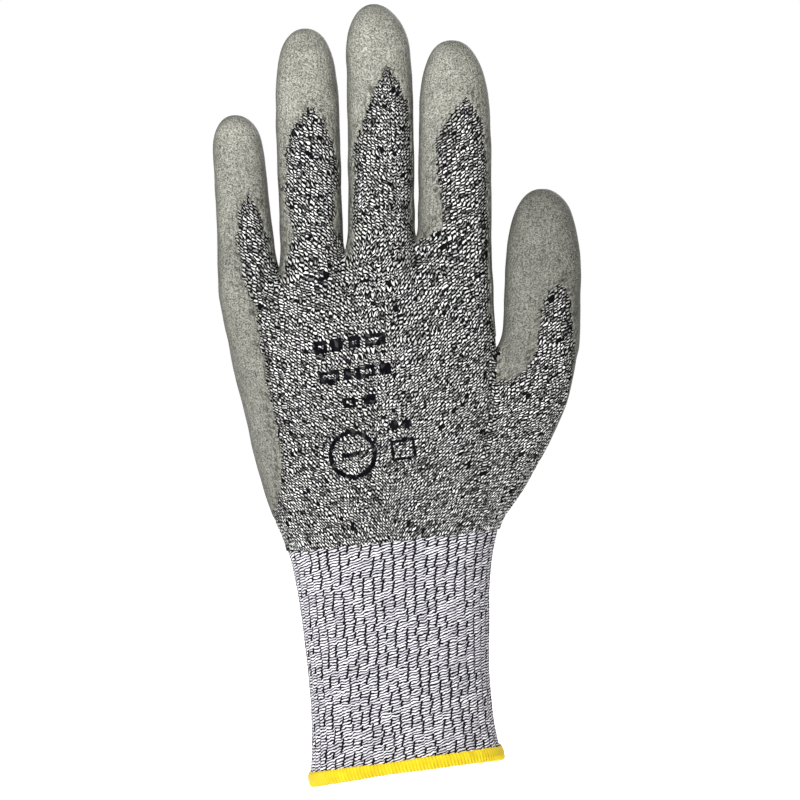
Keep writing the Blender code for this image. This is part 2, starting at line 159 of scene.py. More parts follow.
def section(count, width, depth, start):
    """Points at equal steps round a rounded section, from the -X side over the back to +X and the palm."""
    angle = np.linspace(0, 2 * math.pi, 1441)
    power = 2 / SQUARENESS
    x = -width / 2 * np.sign(np.cos(angle)) * np.abs(np.cos(angle)) ** power
    y = -depth / 2 * np.sign(np.sin(angle)) * np.abs(np.sin(angle)) ** power
    walked = np.concatenate([[0], np.cumsum(np.hypot(np.diff(x), np.diff(y)))])
    steps = (np.arange(count) + start) / count * walked[-1]
    return np.column_stack([np.interp(steps, walked, x), np.interp(steps, walked, y)])


FINGERS = (
    Digit("little", 15, (-45.8, 79.5), (-50.3, 133.5), (19.0, 16.9, 16.0, 15.9, 15.4), (15.4, 14.0, 13.0),
          14, 2.4, (43.5, 30.0, 15.5), (4.5, 4.5, 3.5)),
    Digit("ring", 18, (-25.2, 84.5), (-28.3, 161.2), (19.4, 19.3, 19.9, 19.2, 18.6), (17.4, 16.4, 15.0),
          21, 2.3, (60.5, 42.0, 22.0), (5.5, 5.5, 4.5), bend=0.4),
    Digit("middle", 19, (-3.4, 90.0), (-3.6, 169.0), (20.6, 20.5, 20.6, 20.2, 19.2), (18.0, 16.8, 15.4),
          17, 2.15, (66.0, 45.0, 23.5), (5.5, 5.5, 4.5), bend=-2.4),
    Digit("index", 20, (20.2, 91.0), (20.0, 157.4), (23.0, 22.8, 22.5, 21.6, 21.4), (18.2, 17.2, 15.8),
          23, 2.3, (54.5, 38.5, 20.5), (5.5, 5.5, 4.5), bend=-0.8),
)
THUMB = Digit("thumb", 20, (47.7, 56.0), (49.3, 110.0), (24.0, 24.0, 23.8, 23.2, 23.2), (20.4, 18.8, 17.3),
              28, 2.35, (42.0, 27.5), (5.0, 4.5), forward=4.0, bend=-0.8)
DIGITS = (*FINGERS, THUMB)
TOTAL = sum(f.columns for f in FINGERS)
PALM_COUNT = 2 * TOTAL + 2 * ACROSS
HAND_COUNT = PALM_COUNT + 2 * THUMB.columns
FIRST = np.concatenate([[0], np.cumsum([f.columns for f in FINGERS])]).astype(int)


def slant(x):
    return COURSE_SLOPE * x


def ease(share):
    return share * share * (3 - 2 * share)


# --- Rows of the hand -----------------------------------------------------------------------------


def root_row(number):
    """Where a finger meets the palm."""
    finger = FINGERS[number]
    row = finger.ring(0)
    line = (OUTER_ENDS[0], *CROTCHES, OUTER_ENDS[1])
    sides = row[:, 0].min(), row[:, 0].max()
    row[:, 2] = np.interp(row[:, 0], sides, line[number:number + 2]) - VALLEY
    return row


def make_webs():
    """The line of points between each two fingers, over the crotch from back to palm."""
    made = []
    for number, height in enumerate(CROTCHES):
        left, right = root_row(number), root_row(number + 1)
        columns = FINGERS[number].columns
        from_left = left[columns:columns + ACROSS + 1]
        start = FINGERS[number + 1].around() - ACROSS
        from_right = np.vstack([right[start:], right[:1]])[::-1]
        line = (from_left + from_right) / 2
        line[:, 0] = line[:, 0].mean()
        share = np.linspace(-1, 1, ACROSS + 1)
        line[:, 1] = WEB_HALF_DEPTH * share
        line[:, 2] = height - VALLEY * share ** 2 + BULGE * (1 - share ** 2)
        made.append(line)
    return made


WEBS = make_webs()


def joined_root_rows():
    """The fingers' root rows with the webs as their shared sides."""
    rows = [root_row(n) for n in range(len(FINGERS))]
    for number, finger in enumerate(FINGERS):
        columns, around = finger.columns, finger.around()
        if number < len(FINGERS) - 1:
            rows[number][columns:columns + ACROSS + 1] = WEBS[number]
        if number > 0:
            line = WEBS[number - 1][::-1]
            rows[number][around - ACROSS:] = line[:-1]
            rows[number][0] = line[-1]
    return rows


ROOTS = joined_root_rows()


def knuckle_row():
    """The palm's top row: the backs and the fronts of the fingers' roots, side by side."""
    row = np.zeros((PALM_COUNT, 3))
    for number, finger in enumerate(FINGERS):
        columns = finger.columns
        row[FIRST[number]:FIRST[number] + columns + 1] = ROOTS[number][:columns + 1]
        front = ROOTS[number][columns + ACROSS:2 * columns + ACROSS + 1]
        start = TOTAL + ACROSS + TOTAL - (FIRST[number] + columns)
        row[start:start + columns + 1] = front
    last = FINGERS[-1].columns
    row[TOTAL:TOTAL + ACROSS + 1] = ROOTS[-1][last:last + ACROSS + 1]
    row[2 * TOTAL + ACROSS:] = ROOTS[0][2 * FINGERS[0].columns + ACROSS:]
    return row


def level_row(count, sides, depth, height):
    """A rounded section along one course."""
    row = np.zeros((count, 3))
    row[:, :2] = section(count, sides[1] - sides[0], depth, ACROSS / 2)
    row[:, 0] += (sides[0] + sides[1]) / 2
    row[:, 1] += PALM_FORWARD
    row[:, 2] = height + slant(row[:, 0])
    return row


def thumb_level_row():
    height = THUMB_LEVEL - slant(THUMB_LEVEL_SIDES[1])
    row = level_row(PALM_COUNT, THUMB_LEVEL_SIDES, THUMB_LEVEL_DEPTH, height)
    share = np.linspace(-1, 1, ACROSS + 1)
    side = row[TOTAL:TOTAL + ACROSS + 1]
    side[:, 0] = THUMB_LEVEL_SIDES[1]
    side[:, 1] = PALM_FORWARD + THUMB_WEB_HALF_DEPTH * share
    side[:, 2] = THUMB_LEVEL - 1.0 - VALLEY * share ** 2
    return row


def upper_palm_rows(count):
    top, bottom = knuckle_row(), thumb_level_row()
    rows = []
    for share in np.linspace(0, 1, count):
        row = top * (1 - share) + bottom * share
        lobes = (1 - share) ** 1.6
        row[:, 1] = top[:, 1] * lobes + bottom[:, 1] * (1 - lobes)
        rows.append(row)
    return rows


def thumb_root_row():
    row = THUMB.ring(0)
    web = thumb_level_row()[TOTAL:TOTAL + ACROSS + 1][::-1]
    row[THUMB.around() - ACROSS:] = web[:-1]
    row[0] = web[-1]
    return row


def lower_palm_rows(count):
    palm, thumb = thumb_level_row(), thumb_root_row()
    top = np.vstack([palm[:TOTAL + 1], thumb[1:2 * THUMB.columns + ACROSS], palm[TOTAL + ACROSS:]])
    bottom = level_row(len(top), WRIST_SIDES, WRIST_DEPTH, 0.0)
    rows = []
    for share in np.linspace(0, 1, count):
        row = top * (1 - share) + bottom * share
        fade = ease(share)
        row[:, 1] = top[:, 1] * (1 - fade) + bottom[:, 1] * fade
        sides = row[:, 0].min(), row[:, 0].max()
        heights = row[row[:, 0].argmin(), 2], row[row[:, 0].argmax(), 2]
        wanted = [np.interp(h, *zip(*edge)) for h, edge in zip(heights, (LEFT_EDGE, RIGHT_EDGE))]
        row[:, 0] = np.interp(row[:, 0], sides, wanted)
        rows.append(row)
    return rows


FLARE_TOP, FLARE_REACH, FLARE_GAIN = -60, 14, 1.5
DROOP_TOP, DROOP_REACH = -52, 20
CUFF_MIDDLE = 15.0


def cuff_row(height, count, grow=0.0):
    """A section of the cuff, which widens at the hem and droops there at its back and front."""
    left = np.interp(height + slant(-28), *zip(*CUFF_LEFT)) - grow
    right = np.interp(height + slant(32), *zip(*CUFF_RIGHT)) + grow
    flare = max(0.0, (FLARE_TOP - height) / FLARE_REACH) ** 2 * FLARE_GAIN
    blend = ease(min(1.0, max(0.0, -height / 40)))
    depth = WRIST_DEPTH * (1 - blend) + CUFF_DEPTH * blend + flare + 2 * grow
    row = level_row(count, (left, right), depth, height)
    droop = ease(min(1.0, max(0.0, (DROOP_TOP - height) / DROOP_REACH)))
    bow = 0.13 * np.hypot(row[:, 1] - PALM_FORWARD, 2.0) - 2.1
    row[:, 2] += droop * (bow + 0.035 * (row[:, 0] - CUFF_MIDDLE))
    return row


def flared(digit, along, root):
    """A digit's section, drawn toward its root's shape near the root."""
    left = max(0.0, 1 - along / FLARE) ** 2
    return digit.ring(along) + (root - digit.ring(0)) * left


# --- The lattice ---------------------------------------------------------------------------------


class Lattice:
    """Rings of points joined by quads, with a stitch coordinate at every corner."""

    def __init__(self):
        self.points = []
        self.faces = []
        self.uvs = []
        self.tags = []

    def add(self, row):
        start = len(self.points)
        self.points += list(row)
        return list(range(start, len(self.points)))

    def join(self, below, above, low, high, tag, first_wale=0, wales=1):
        count = len(below)
        for k in range(count):
            after = (k + 1) % count
            self.faces.append((below[k], below[after], above[after], above[k]))
            u0, u1 = first_wale + k * wales, first_wale + (k + 1) * wales
            self.uvs += [(u0, low), (u1, low), (u1, high), (u0, high)]
            self.tags.append(tag)

    def cap(self, ring, course, tag, first_wale):
        self.faces.append(tuple(ring))
        self.uvs += [(first_wale + k, course) for k in range(len(ring))]
        self.tags.append(tag)


def finger_base(number, top, add_web):
    """The points round a finger's root: the palm's top row, and the webs beside the finger."""
    finger = FINGERS[number]
    columns, around = finger.columns, finger.around()
    base = [None] * around
    for k in range(columns + 1):
        base[k] = top[FIRST[number] + k]
    for k in range(columns + ACROSS, 2 * columns + ACROSS + 1):
        base[k % around] = top[TOTAL + ACROSS + TOTAL - (FIRST[number] + 2 * columns + ACROSS - k)]
    for k in range(columns + 1, columns + ACROSS):
        base[k] = top[TOTAL + k - columns] if number == len(FINGERS) - 1 else add_web(number, k - columns)
    for k in range(2 * columns + ACROSS + 1, around):
        base[k] = top[2 * TOTAL + k - 2 * columns] if number == 0 else add_web(number - 1, around - k)
    return base


def digit_places(digit):
    """Distances of a digit's rows from its root, two courses apart, and closer over the rounded tip."""
    straight = digit.length - digit.rounding
    rows = max(2, round(straight / COURSES_PER_ROW))
    places = list(np.linspace(0, straight, rows + 1))
    turns = max(6, round(digit.rounding * 1.45 / COURSES_PER_ROW))
    for turn in np.radians(np.linspace(0, 86, turns + 1)[1:]):
        places.append(straight + digit.rounding * math.sin(turn))
    return places


HEEL, LOWER, UPPER = "heel", "lower", "upper"
HEEL_TOP = 13.0
LOWER_ROWS, UPPER_ROWS = 31, 16
LIP = 2.4  # how far the hand's lower edge lies over the cuff
CUFF_INSET = -0.2


def digit_cuts(digit):
    """Where a digit is cut into pieces: clear of every fold."""
    folds, halves = digit.folds, digit.half_bands
    cuts = [folds[0] - halves[0] - 1.0]
    cuts += [(a + b) / 2 for a, b in zip(folds, folds[1:])]
    return cuts


def add_digit(net, digit, base, root, course, first_wale):
    places = digit_places(digit)
    cuts = digit_cuts(digit)
    below, low = base, course
    for before, along in zip(places, places[1:]):
        ring = net.add(flared(digit, along, root))
        middle = (before + along) / 2
        number = sum(middle > cut for cut in cuts)
        tag = f"{digit.name}_{number}"
        high = low + COURSES_PER_ROW
        net.join(below, ring, low, high, tag, first_wale)
        below, low = ring, high
    net.cap(below, low, f"{digit.name}_{len(cuts)}", first_wale)


def lip_row(lowest):
    """The hand's lower edge, drawn in to the cuff that it lies over."""
    lip, cuff = lowest.copy(), cuff_row(-LIP, len(lowest), grow=0.35)
    sides = lip[:, 0].min(), lip[:, 0].max()
    lip[:, 0] = np.interp(lip[:, 0], sides, (cuff[:, 0].min(), cuff[:, 0].max()))
    lip[:, 2] -= LIP
    return lip


def make_lattice():
    net = Lattice()
    rows = lower_palm_rows(LOWER_ROWS)[::-1]
    below = net.add(lip_row(rows[0]))
    course = -COURSES_PER_ROW
    for row in rows:
        ring = net.add(row)
        tag = HEEL if (row[:, 2] - slant(row[:, 0])).mean() < HEEL_TOP else LOWER
        net.join(below, ring, course, course + COURSES_PER_ROW, tag)
        below, course = ring, course + COURSES_PER_ROW

    thumb_end = TOTAL + 2 * THUMB.columns + ACROSS
    web = net.add(thumb_level_row()[TOTAL + 1:TOTAL + ACROSS])
    add_digit(net, THUMB, below[TOTAL:thumb_end + 1] + web[::-1], thumb_root_row(), course, TOTAL)

    below = below[:TOTAL + 1] + web + below[thumb_end:]
    for row in upper_palm_rows(UPPER_ROWS)[-2::-1]:
        ring = net.add(row)
        net.join(below, ring, course, course + COURSES_PER_ROW, UPPER)
        below, course = ring, course + COURSES_PER_ROW

    shared = {}

    def add_web(number, step):
        if (number, step) not in shared:
            shared[number, step] = net.add(WEBS[number][step:step + 1])[0]
        return shared[number, step]

    for number, finger in enumerate(FINGERS):
        base = finger_base(number, below, add_web)
        add_digit(net, finger, base, ROOTS[number], course, int(FIRST[number]))
    return net


def make_cuff_lattice(columns=HAND_COUNT // 2):
    net = Lattice()
    heights = np.arange(1.6, HEM_TOP - 3.0, -COURSES_PER_ROW)[::-1]
    below, course = net.add(cuff_row(heights[0], columns, grow=CUFF_INSET)), 0
    for height in heights[1:]:
        tucked = CUFF_INSET - 0.5 * max(0.0, height)  # the top goes under the hand's lower edge
        ring = net.add(cuff_row(height, columns, grow=tucked))
        net.join(below, ring, course, course + COURSES_PER_ROW, "cuff", wales=2)
        below, course = ring, course + COURSES_PER_ROW
    return net


def smoothed(points, faces, crotches, passes=3):
    """Evens out the lattice, and does so more where digits meet."""
    edges = {tuple(sorted((f[k], f[(k + 1) % len(f)]))) for f in faces if len(f) == 4 for k in range(4)}
    a, b = np.array(sorted(edges)).T
    count = len(points)
    degree = np.bincount(a, minlength=count) + np.bincount(b, minlength=count)
    weight = np.full(count, 0.35)
    for place in crotches:
        near = np.linalg.norm(points - place, axis=1)
        weight = np.maximum(weight, 0.75 * np.clip(1.6 - near / 8, 0, 1))
    held = degree < 4  # open ends keep their place
    weight[held] = 0.0
    for _ in range(passes):
        total = np.zeros_like(points)
        for axis in range(3):
            total[:, axis] = (np.bincount(a, points[b, axis], count)
                              + np.bincount(b, points[a, axis], count))
        mean = total / np.maximum(degree, 1)[:, None]
        points = points + (mean - points) * weight[:, None]
    return points


def vertex_normals(points, faces):
    a, b, c, d = (points[faces[:, k]] for k in range(4))
    normal = np.cross(c - a, d - b)
    total = np.zeros_like(points)
    for k in range(4):
        for axis in range(3):
            total[:, axis] += np.bincount(faces[:, k], normal[:, axis], len(points))
    return total / np.maximum(np.linalg.norm(total, axis=1), 1e-12)[:, None]


class Surface:
    """A lattice after subdivision: points, quads, stitch coordinates and the tag of each quad."""

    def __init__(self, points, faces, uvs, tags, names):
        self.points = points
        self.faces = faces
        self.uvs = uvs
        self.tags = tags
        self.names = names
        self.normals = vertex_normals(points, faces)
        self.wale = np.zeros(len(points))
        self.course = np.zeros(len(points))
        self.wale[faces.ravel()] = uvs[:, :, 0].ravel()
        self.course[faces.ravel()] = uvs[:, :, 1].ravel()

    def tagged(self, *names):
        return np.isin(self.tags, [self.names.index(n) for n in names])


def add_object(name, data):
    obj = bpy.data.objects.new(name, data)
    bpy.context.scene.collection.objects.link(obj)
    return obj


def raw_mesh(name, points, faces, uvs, tags=None, depths=None):
    mesh = bpy.data.meshes.new(name)
    sizes = np.array([len(f) for f in faces])
    corners = np.concatenate([np.asarray(f) for f in faces])
    mesh.vertices.add(len(points))
    mesh.vertices.foreach_set("co", np.ascontiguousarray(points, np.float32).ravel())
    mesh.loops.add(len(corners))
    mesh.loops.foreach_set("vertex_index", corners.astype(np.int32))
    mesh.polygons.add(len(sizes))
    starts = np.concatenate([[0], np.cumsum(sizes)[:-1]]).astype(np.int32)
    mesh.polygons.foreach_set("loop_start", starts)
    mesh.update(calc_edges=True)
    layer = mesh.uv_layers.new(name="knit")
    layer.data.foreach_set("uv", np.asarray(uvs, np.float32).ravel())
    if depths is not None:
        layer = mesh.uv_layers.new(name="depth")
        pairs = np.column_stack([depths, np.zeros(len(depths))])
        layer.data.foreach_set("uv", pairs.astype(np.float32).ravel())
    if tags is not None:
        attribute = mesh.attributes.new("tag", "INT", "FACE")
        attribute.data.foreach_set("value", np.asarray(tags, np.int32))
    return mesh


def subdivided(net, crotches=(), levels=2):
    """The lattice after smoothing and subdivision, and as it was before subdivision, without its caps."""
    points = smoothed(np.array(net.points), net.faces, crotches)
    names = sorted(set(net.tags))
    numbers = np.array([names.index(t) for t in net.tags])
    obj = add_object("lattice", raw_mesh("lattice", points, net.faces, net.uvs, numbers))
    modifier = obj.modifiers.new("Subdivision", "SUBSURF")
    modifier.levels = levels
    modifier.render_levels = levels
    modifier.uv_smooth = "NONE"
    fine = obj.evaluated_get(bpy.context.evaluated_depsgraph_get()).to_mesh()
    co = np.empty(len(fine.vertices) * 3, np.float32)
    fine.vertices.foreach_get("co", co)
    corners = np.empty(len(fine.loops), np.int32)
    fine.loops.foreach_get("vertex_index", corners)
    uvs = np.empty(len(fine.loops) * 2, np.float32)
    fine.uv_layers["knit"].data.foreach_get("uv", uvs)
    tags = np.empty(len(fine.polygons), np.int32)
    fine.attributes["tag"].data.foreach_get("value", tags)
    made = Surface(co.reshape(-1, 3).astype(float), corners.reshape(-1, 4),
                   uvs.reshape(-1, 4, 2).astype(float), tags, names)
    bpy.data.objects.remove(obj)
    quads = np.array([len(f) == 4 for f in net.faces])
    uv_starts = np.concatenate([[0], np.cumsum([len(f) for f in net.faces])[:-1]])[quads]
    quad_uvs = np.array(net.uvs, float)[uv_starts[:, None] + np.arange(4)]
    quad_faces = np.array([f for f in net.faces if len(f) == 4])
    return made, Surface(points, quad_faces, quad_uvs, numbers[quads], names)


# --- Relief --------------------------------------------------------------------------------------

STROKE_WALES = 0.95  # strokes to a wale
STROKE_COURSES = 0.88
STROKE_RISE = 0.70  # courses that a stroke rises over its width
RIB_COURSES = 1.12
RIB_RISE = 0.75


def hashed(*keys):
    """A repeatable number from 0 to 1 for each row of whole numbers."""
    total = np.zeros(len(keys[0]))
    for key, factor in zip(keys, (12.9898, 78.233, 37.719)):
        total = total + np.asarray(key) * factor
    value = np.sin(total) * 43758.5453
    return value - np.floor(value)


def leaning(x, z):
    """How far across a stitch its left leg reaches: least near the thumb, most near the little finger."""
    turned = np.clip((9 - x - 4 * np.sin(z / 9) - 3 * np.sin(z / 23 + x / 7)) / 22, 0, 1)
    return 0.12 + 0.76 * ease(turned)


def jersey_relief(stitches, points):
    """A slanting stroke to a stitch: the fabric twists, so one leg of each V covers the other."""
    across = stitches[:, 0] - np.floor(stitches[:, 0])
    split = leaning(points[:, 0], points[:, 2])
    rise = np.minimum(across / split, (1 - across) / (1 - split))
    stroke = 0.5 - 0.5 * np.cos(2 * math.pi * (stitches[:, 1] + STROKE_RISE * rise))
    return 0.15 * np.sin(math.pi * across) + 0.12 * stroke


def rib_relief(wale, course):
    """Ribs of four wales, crossed by slanting strokes."""
    turn = wale / 4
    rib = np.abs(np.sin(math.pi * turn))
    level = RIB_COURSES * course - RIB_RISE * (turn - np.floor(turn))
    return 0.42 * rib ** 0.7 + 0.07 * np.cos(2 * math.pi * level)


def drifted(surface):
    """The coordinates of the strokes at corners and at points: they wander as a soft knit does."""
    moves = [0.30 * waves(surface.points, 6.5, seed) + 0.16 * waves(surface.points, 2.8, seed + 1)
             for seed in (11, 21)]
    moved = surface.uvs * (STROKE_WALES, STROKE_COURSES)
    for axis, move in enumerate(moves):
        moved[:, :, axis] += move[surface.faces]
    at_points = np.zeros((len(surface.points), 2))
    at_points[surface.faces.ravel()] = moved.reshape(-1, 2)
    return moved, at_points


def waves(points, scale, seed):
    """A smooth uneven field between about -1 and 1."""
    rng = np.random.default_rng(seed)
    total = np.zeros(len(points))
    for _ in range(7):
        direction = rng.normal(size=3)
        direction *= 2 * math.pi / (scale * rng.uniform(0.6, 1.6)) / np.linalg.norm(direction)
        total += np.sin(points @ direction + rng.uniform(0, 2 * math.pi))
    return total / 3


# --- Where the coating ends ----------------------------------------------------------------------

DEEP = 9.0  # the depth given to the inside of the fabric, which the coating doesn't reach

# Round the uncoated knit, seen from the back: (X, Z)
KNIT_OUTLINE = (
    # The little finger's side of the hand, and that finger
    (-60, -30), (-60, 0), (-46, 1), (-38, 5), (-35.6, 14), (-35.4, 22), (-36.5, 33), (-38.3, 41), (-40, 52.5),
    (-42.6, 66), (-46.1, 79.4), (-48.6, 90), (-48.9, 96), (-48.2, 102), (-45.8, 107), (-43.2, 104),
    (-41.8, 97), (-39.4, 90), (-36.5, 84), (-34.9, 80),
    # Ring
    (-33, 86), (-31.4, 96), (-33.6, 104), (-34.4, 111), (-33.4, 119), (-31.6, 127), (-28.6, 132),
    (-25.6, 136), (-22, 131.5), (-19.2, 124), (-17.1, 111), (-18.2, 97), (-14.8, 91), (-13.8, 87),
    # Middle
    (-12.6, 93), (-12.3, 110), (-10.9, 123.5), (-7.9, 132.5), (-5.6, 141.5), (-1.3, 146.5), (3.2, 141.5),
    (5.1, 132.5), (5.8, 120), (5.8, 98), (7.4, 92),
    # Index
    (10.5, 94), (15, 97), (15.8, 105.6), (13.9, 114.6), (15, 123.5), (19.2, 132.5), (23.4, 139.4),
    (28.3, 132.5), (29.7, 122), (30, 95), (30.6, 70),
    # Thumb, and past the hand's edge
    (34, 60), (34, 49.5), (38.6, 48.8), (43, 51.5), (44.6, 57), (47, 66), (50.4, 75), (54.1, 79.6),
    (56.2, 74), (57.0, 64), (57.6, 56), (58.4, 50), (63, 36), (75, 32), (75, -30),
)
PALM_COAT_END = 5.0  # height above the wrist's course
RAGGED = 1.1  # how far single stitches move the coating's edge
KNIT_UNDERLAP = 2.2


def inside(x, z, outline):
    found = np.zeros(len(x), bool)
    for (x0, z0), (x1, z1) in zip(outline, outline[1:] + outline[:1]):
        if z0 == z1:
            continue
        crosses = (z0 > z) != (z1 > z)
        found ^= crosses & (x < (x1 - x0) * (z - z0) / (z1 - z0) + x0)
    return found


def edge_distance(x, z, outline):
    nearest = np.full(len(x), np.inf)
    for (x0, z0), (x1, z1) in zip(outline, outline[1:] + outline[:1]):
        run, rise = x1 - x0, z1 - z0
        share = np.clip(((x - x0) * run + (z - z0) * rise) / max(run * run + rise * rise, 1e-9), 0, 1)
        nearest = np.minimum(nearest, np.hypot(x - x0 - share * run, z - z0 - share * rise))
    return nearest


def stitch_means(surface):
    """Each quad's half stitch, and the mean place and normal of every half stitch."""
    mid_uv = surface.uvs.mean(axis=1)
    wales, courses = np.floor(2 * mid_uv[:, 0]), np.floor(mid_uv[:, 1])
    keys = np.column_stack([surface.tags, wales, courses]).astype(np.int64)
    unique, which = np.unique(keys, axis=0, return_inverse=True)
    which = which.ravel()
    size = np.bincount(which)
    middle = surface.points[surface.faces].mean(axis=1)
    normal = surface.normals[surface.faces].mean(axis=1)
    place = np.column_stack([np.bincount(which, middle[:, k]) / size for k in range(3)])
    facing = np.column_stack([np.bincount(which, normal[:, k]) / size for k in range(3)])
    return unique, which, place, facing


def knit_depth(place, facing):
    """How far a place lies inside the uncoated knit: negative under the coating."""
    x, _, z = place.T
    distance = edge_distance(x, z, KNIT_OUTLINE)
    depth = np.where(inside(x, z, KNIT_OUTLINE), distance, -distance)
    thumb_side = (x > 40) * np.clip((z - 15) / 40, 0, 1)
    turned = facing[:, 1] > 0.12 - 0.50 * thumb_side + 0.09 * waves(place, 5.0, 31)
    depth = np.where(turned, -5.0, depth)
    below = PALM_COAT_END + slant(x) - z
    return np.where(turned & (below > -5.0), below, depth)


# --- Printed marks -------------------------------------------------------------------------------

PRINT_LEAN = math.radians(8.5)
PRINT_CENTRE = (-10.0, 40.0)


def bar(x, z, left, right, low, high):
    return (x > left) & (x < right) & (z > low) & (z < high)


PRINT_LINES = (  # middle, height, and blocks: left, right, and whether the block is open
    (20.5, 3.8, ((-11.5, -7.6, 1), (-6.4, -2.6, 0), (-0.8, 3.0, 1), (4.4, 11.2, 1))),
    (10.8, 3.8, ((-11.5, -5.0, 1), (-3.8, -1.2, 0), (0.2, 6.4, 1), (7.8, 11.4, 0))),
    (1.8, 3.2, ((-5.2, -1.2, 1), (1.2, 5.4, 0))),
)


def printed(x, z):
    """Plain marks in place of print: broken lines, a ring with a bar in it, a small frame and two dots."""
    dx, dz = x - PRINT_CENTRE[0], z - PRINT_CENTRE[1]
    along = dx * math.cos(PRINT_LEAN) + dz * math.sin(PRINT_LEAN)
    up = -dx * math.sin(PRINT_LEAN) + dz * math.cos(PRINT_LEAN)
    mark = np.zeros(len(x), bool)
    for middle, height, blocks in PRINT_LINES:
        for left, right, is_open in blocks:
            mark |= bar(along, up, left, right, middle - height / 2, middle + height / 2)
            if is_open:
                mark &= ~bar(along, up, left + 1.25, right - 1.25, middle - 0.65, middle + 0.65)
    ring = np.hypot(along + 4.5, up + 14.5)
    mark |= (ring < 7.7) & (ring > 6.3)
    mark |= bar(along, up, -8.0, -1.0, -15.2, -13.8)
    mark |= bar(along, up, 7.6, 15.4, -18.6, -11.8) & ~bar(along, up, 8.6, 14.4, -17.6, -12.8)
    for place in (9.6, 13.8):
        mark |= np.hypot(along - place, up + 7.4) < 1.5
    return mark


# --- Materials -----------------------------------------------------------------------------------


WHITE = (1.0, 1.0, 1.0)


class Nodes:
    """Short calls for building one material's nodes."""

    def __init__(self, name):
        self.material = bpy.data.materials.new(name)
        self.material.use_nodes = True
        self.tree = self.material.node_tree
        self.shader = self.tree.nodes["Principled BSDF"]

    def node(self, kind, **settings):
        made = self.tree.nodes.new(kind)
        for key, value in settings.items():
            setattr(made, key, value)
        return made

    def put(self, value, socket):
        if isinstance(value, bpy.types.NodeSocket):
            self.tree.links.new(value, socket)
        else:
            socket.default_value = value

    def filled(self, made, *values):
        """Puts values in a node's first sockets, and gives its first output."""
        for value, socket in zip(values, made.inputs):
            self.put(value, socket)
        return made.outputs[0]

    def math(self, operation, *values):
        return self.filled(self.node("ShaderNodeMath", operation=operation), *values)

    def plus(self, *values):
        return self.math("ADD", *values)

    def minus(self, *values):
        return self.math("SUBTRACT", *values)

    def times(self, *values):
        return self.math("MULTIPLY", *values)

    def scaled(self, value, factor, added):
        return self.math("MULTIPLY_ADD", value, factor, added)

    def rest(self, value):
        return self.math("SUBTRACT", 1.0, value)

    def whole(self, value):
        return self.math("FLOOR", value)

    def part(self, value):
        return self.math("FRACT", value)

    def arch(self, value):
        """Rises from 0 to 1 and falls back while value goes from 0 to 1."""
        return self.math("SINE", self.times(value, math.pi))

    def vector(self, x, y, z=0.0):
        return self.filled(self.node("ShaderNodeCombineXYZ"), x, y, z)

    def split(self, vector):
        made = self.node("ShaderNodeSeparateXYZ")
        self.put(vector, made.inputs[0])
        return made.outputs[:3]

    def coordinate(self, name):
        return self.node("ShaderNodeTexCoord").outputs[name]

    def layer(self, name):
        """The two numbers of a UV layer."""
        return self.split(self.node("ShaderNodeUVMap", uv_map=name).outputs[0])[:2]

    def white(self, x, y, z):
        """A random number for each three whole numbers."""
        made = self.node("ShaderNodeTexWhiteNoise", noise_dimensions="3D")
        self.put(self.vector(x, y, z), made.inputs["Vector"])
        return made.outputs["Value"]

    def noise(self, scale, detail=2.0, rough=0.5, vector=None):
        made = self.node("ShaderNodeTexNoise")
        made.inputs["Scale"].default_value = scale
        made.inputs["Detail"].default_value = detail
        made.inputs["Roughness"].default_value = rough
        self.put(vector or self.coordinate("Object"), made.inputs["Vector"])
        return made.outputs["Fac"]

    def ramp(self, value, *stops):
        made = self.node("ShaderNodeValToRGB")
        elements = made.color_ramp.elements
        while len(elements) < len(stops):
            elements.new(0.5)
        for element, (place, colour) in zip(elements, stops):
            element.position = place
            element.color = (*colour, 1.0)
        self.put(value, made.inputs["Fac"])
        return made.outputs["Color"]

    def mix(self, factor, first, second, blend="MIX"):
        made = self.node("ShaderNodeMix", data_type="RGBA", blend_type=blend)
        self.put(factor, made.inputs["Factor"])
        for value, socket in ((first, made.inputs[6]), (second, made.inputs[7])):
            self.put((*value, 1.0) if isinstance(value, tuple) else value, socket)
        return made.outputs[2]

    def dimmed(self, factor, colour, value, low, dark, high):
        """Multiplies a colour by dark where value is low, and leaves it where value is high."""
        return self.mix(factor, colour, self.ramp(value, (low, dark), (high, WHITE)), "MULTIPLY")

    def step(self, value, low, high):
        """0 below low, 1 above high."""
        made = self.node("ShaderNodeMapRange", interpolation_type="SMOOTHSTEP")
        self.put(value, made.inputs["Value"])
        made.inputs["From Min"].default_value = low
        made.inputs["From Max"].default_value = high
        return made.outputs["Result"]

    def finish(self, colour, roughness, height=None, depth=0.1, strength=1.0, sheen=0.0, gloss=0.04):
        self.put(colour, self.shader.inputs["Base Color"])
        self.put(roughness, self.shader.inputs["Roughness"])
        self.shader.inputs["Specular IOR Level"].default_value = gloss
        if sheen:
            self.shader.inputs["Sheen Weight"].default_value = sheen
            self.shader.inputs["Sheen Roughness"].default_value = 0.6
        if height is not None:
            bump = self.node("ShaderNodeBump")
            bump.inputs["Strength"].default_value = strength
            bump.inputs["Distance"].default_value = depth * MM
            self.put(height, bump.inputs["Height"])
            self.put(bump.outputs["Normal"], self.shader.inputs["Normal"])
        return self.material


Cell = namedtuple("Cell", "column across row within shown on_left")


